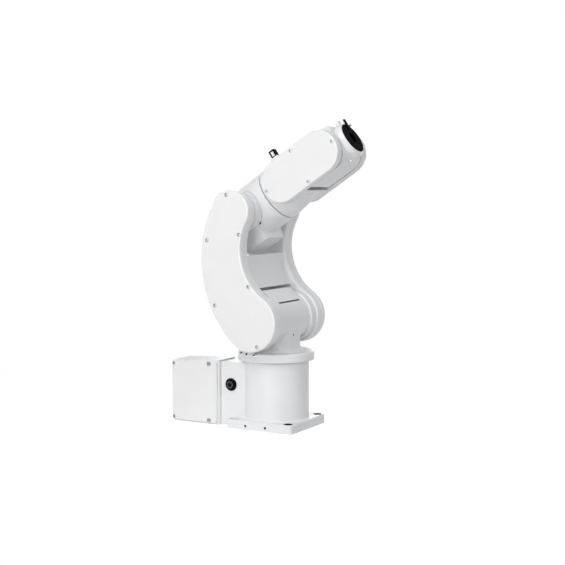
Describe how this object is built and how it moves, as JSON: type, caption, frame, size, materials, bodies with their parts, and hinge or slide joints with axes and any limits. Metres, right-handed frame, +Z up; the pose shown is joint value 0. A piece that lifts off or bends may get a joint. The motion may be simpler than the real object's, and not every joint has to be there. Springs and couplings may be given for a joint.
{
  "type": "industrial robot arm",
  "caption": "Small bench-top jointed robot arm: plate foot with cable box, turntable, kidney-shaped lower arm, forked forearm with tilting wrist and a dark tool flange.",
  "frame": {"origin": "on the first axis, at the underside of the base plate", "axes": "+X the way the arm reaches, +Y the arm's own left, +Z up along the first axis"},
  "size_m": [0.366, 0.192, 0.5553],
  "materials": {
    "white_paint": "semi-gloss white paint on castings and covers",
    "black_plastic": "black moulded plastic",
    "black_steel": "blackened steel, turned",
    "bright_aluminium": "bare machined aluminium",
    "pale_plastic": "pale moulded plastic"
  },
  "bodies": {
    "base": {"base_casting": "white_paint", "cable_box": "white_paint", "box_side_cover": "white_paint", "connector_block": "white_paint", "rear_panel": "bright_aluminium", "power_socket": "black_plastic", "signal_socket": "black_steel", "upper_air_port": "bright_aluminium", "lower_air_port": "bright_aluminium", "button_bezel": "black_plastic", "button_cap": "black_plastic"},
    "turntable": {"turntable_casting": "white_paint", "shoulder_lid": "white_paint"},
    "lower_arm": {"lower_arm_casting": "white_paint", "near_arm_cover": "white_paint", "far_arm_cover": "white_paint"},
    "elbow": {"elbow_housing": "white_paint"},
    "forearm": {"forearm_casting": "white_paint", "near_forearm_cover": "white_paint", "far_forearm_cover": "white_paint", "forearm_plug": "black_plastic", "plug_insert": "pale_plastic"},
    "wrist": {"wrist_housing": "white_paint", "nose_ring": "white_paint"},
    "tool_mount": {"tool_flange": "black_steel", "flange_stop": "black_plastic", "guide_pin": "black_steel"}
  },
  "joints": [
    {"name": "axis_1_turn", "type": "hinge", "parent": "base", "child": "turntable", "pos_m": [0, 0, 0.124], "axis": [0, 0, 1], "range_deg": [-170, 170]},
    {"name": "axis_2_lower_arm", "type": "hinge", "parent": "turntable", "child": "lower_arm", "pos_m": [0, 0, 0.1975], "axis": [0, 1, 0], "range_deg": [-48, 106]},
    {"name": "axis_3_elbow", "type": "hinge", "parent": "lower_arm", "child": "elbow", "pos_m": [-0.04, 0, 0.394], "axis": [0, -1, 0], "range_deg": [-63, 157]},
    {"name": "axis_4_roll", "type": "hinge", "parent": "elbow", "child": "forearm", "pos_m": [0.0042, 0, 0.42325], "axis": [0.8339, 0, 0.5519], "range_deg": [-170, 170]},
    {"name": "axis_5_wrist", "type": "hinge", "parent": "forearm", "child": "wrist", "pos_m": [0.1151, 0, 0.49666], "axis": [0, -1, 0], "range_deg": [-120, 120]},
    {"name": "axis_6_tool", "type": "hinge", "parent": "wrist", "child": "tool_mount", "pos_m": [0.14929, 0, 0.51929], "axis": [0.8339, 0, 0.5519], "range_deg": [-242, 242]}
  ]
}
